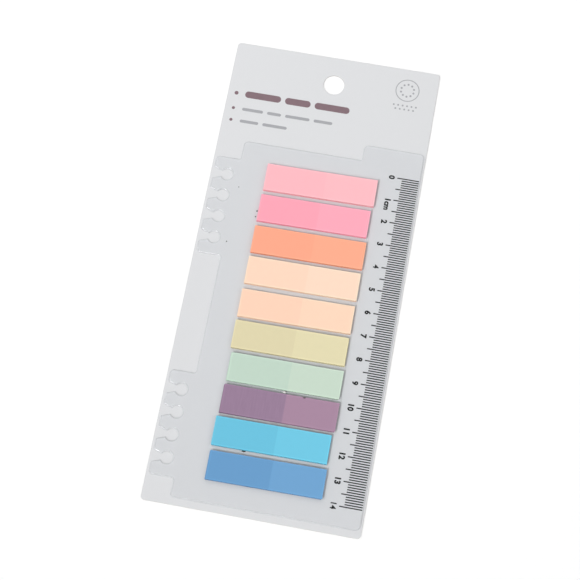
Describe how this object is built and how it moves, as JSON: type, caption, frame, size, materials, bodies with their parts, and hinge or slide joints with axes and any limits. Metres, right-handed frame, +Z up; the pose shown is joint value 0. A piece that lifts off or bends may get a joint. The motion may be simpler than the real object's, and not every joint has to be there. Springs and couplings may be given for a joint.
{
  "type": "sticky index tabs",
  "caption": "Pads of sticky paper index tabs in different colours on a punched plastic ruler sheet, backed by a white card with a round hang hole.",
  "frame": {"origin": "centre of the backing card's back face, on the surface that it lies on", "axes": "+Y from the foot of the card to its hang hole, +X to the right of the printed face, +Z up out of the printed face"},
  "size_m": [0.088, 0.2012, 0.0028],
  "materials": {
    "card": "white coated board, satin, with dark and grey print",
    "tape": "thin white double-sided tape",
    "sheet": "frosted translucent plastic with black printed scale",
    "light_pink_paper": "matt tinted paper",
    "pink_paper": "matt tinted paper",
    "orange_paper": "matt tinted paper",
    "peach_paper": "matt tinted paper",
    "apricot_paper": "matt tinted paper",
    "khaki_paper": "matt tinted paper",
    "mint_paper": "matt tinted paper",
    "mauve_paper": "matt tinted paper",
    "sky_paper": "matt tinted paper",
    "blue_paper": "matt tinted paper"
  },
  "bodies": {
    "root": {"backing_card": "card", "upper_tape_strip": "tape", "lower_tape_strip": "tape", "ruler_sheet": "sheet", "light_pink_pad": "light_pink_paper", "pink_pad": "pink_paper", "orange_pad": "orange_paper", "peach_pad": "peach_paper", "apricot_pad": "apricot_paper", "khaki_pad": "khaki_paper", "mint_pad": "mint_paper", "mauve_pad": "mauve_paper", "sky_pad": "sky_paper", "blue_pad": "blue_paper"}
  },
  "joints": []
}
